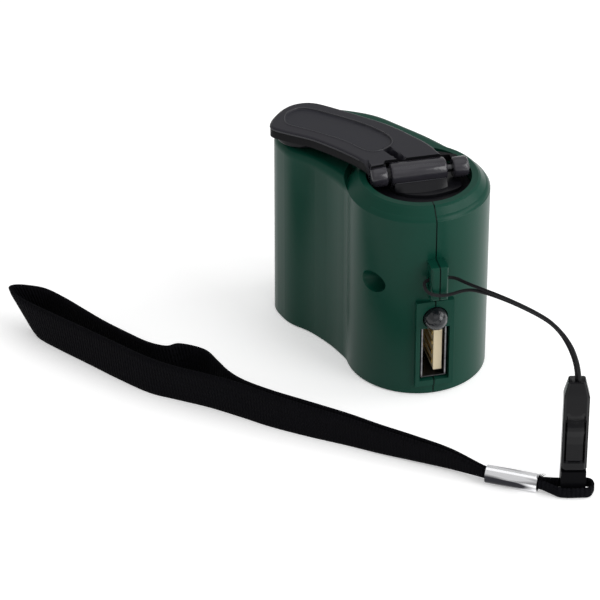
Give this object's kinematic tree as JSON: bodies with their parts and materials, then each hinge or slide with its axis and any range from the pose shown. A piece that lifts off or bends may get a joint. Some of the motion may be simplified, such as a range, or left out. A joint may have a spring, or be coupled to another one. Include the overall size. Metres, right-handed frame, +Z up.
{
  "type": "hand crank phone charger",
  "caption": "Bean-shaped green hand generator with a folding crank arm on top, a USB socket and lamp in its nose, and a clip-on wrist strap tied to a lug.",
  "frame": {"origin": "on the crank axis at the flat base the charger stands on", "axes": "+Z up along the crank axis, +X along the body from the far end to the round lobe, +Y to the back; the socket looks out 30.7 degrees to the front of +X"},
  "size_m": [0.1348, 0.07, 0.0483],
  "materials": {
    "green_abs": "satin",
    "black_abs": "satin",
    "steel": "brushed",
    "chrome": "polished",
    "brass": "bright",
    "white_nylon": "matte",
    "ivory": "matte",
    "board": "satin",
    "clear_lens": "clear",
    "webbing": "woven",
    "cord": "braided",
    "component": "satin",
    "wire": "satin"
  },
  "bodies": {
    "housing": {"front_shell": "green_abs", "rear_shell": "green_abs", "housing_screw": "steel", "crank_bush": "white_nylon", "gear_plate": "steel", "idler_axle": "steel", "axle_cap": "brass", "motor_screws": "steel", "motor_can": "steel", "motor_cap": "component", "circuit_board": "board", "usb_shell": "chrome", "usb_tongue": "ivory", "usb_contacts": "brass", "led_lamp": "clear_lens", "led_leads": "steel", "capacitor": "component", "board_chips": "component", "motor_leads": "wire", "tether_cord": "cord", "clip_housing": "black_abs"},
    "crank": {"crank_hub": "black_abs", "hinge_pin": "steel", "crank_shaft": "steel", "shaft_clip": "steel", "drive_wheel": "white_nylon"},
    "arm": {"crank_arm": "black_abs", "arm_inlay": "black_abs", "knob_rivet": "steel"},
    "knob": {"knob": "black_abs"},
    "idler": {"idler_gears": "white_nylon"},
    "rotor": {"motor_shaft": "steel", "motor_core": "steel", "motor_pinion": "brass"},
    "strap": {"clip_tongue": "black_abs", "strap_end_loop": "webbing", "strap_ferrule": "chrome", "wrist_strap": "webbing"}
  },
  "joints": [
    {"name": "crank_spin", "type": "hinge", "parent": "housing", "child": "crank", "pos_m": [0, 0, 0.0412], "axis": [0, 0, 1], "continuous": true},
    {"name": "arm_fold", "type": "hinge", "parent": "crank", "child": "arm", "pos_m": [0, 0, 0.0456], "axis": [0.5105, 0.8599, 0], "range_deg": [0, 140]},
    {"name": "knob_spin", "type": "hinge", "parent": "arm", "child": "knob", "pos_m": [-0.0292, -0.0054, 0.0449], "axis": [0, 0, 1], "continuous": true},
    {"name": "idler_spin", "type": "hinge", "parent": "housing", "child": "idler", "pos_m": [-0.01345, 0.00118, 0.035], "axis": [0, 0, 1], "continuous": true},
    {"name": "rotor_spin", "type": "hinge", "parent": "housing", "child": "rotor", "pos_m": [-0.02445, 0.00098, 0.02], "axis": [0, 0, 1], "continuous": true},
    {"name": "clip_release", "type": "slide", "parent": "housing", "child": "strap", "axis": [0, 0, -1], "range_m": [0, 0.013]}
  ],
  "couplings": [
    {"joint": "idler_spin", "follows": "crank_spin", "ratio": -3.5},
    {"joint": "rotor_spin", "follows": "crank_spin", "ratio": 11.9}
  ]
}
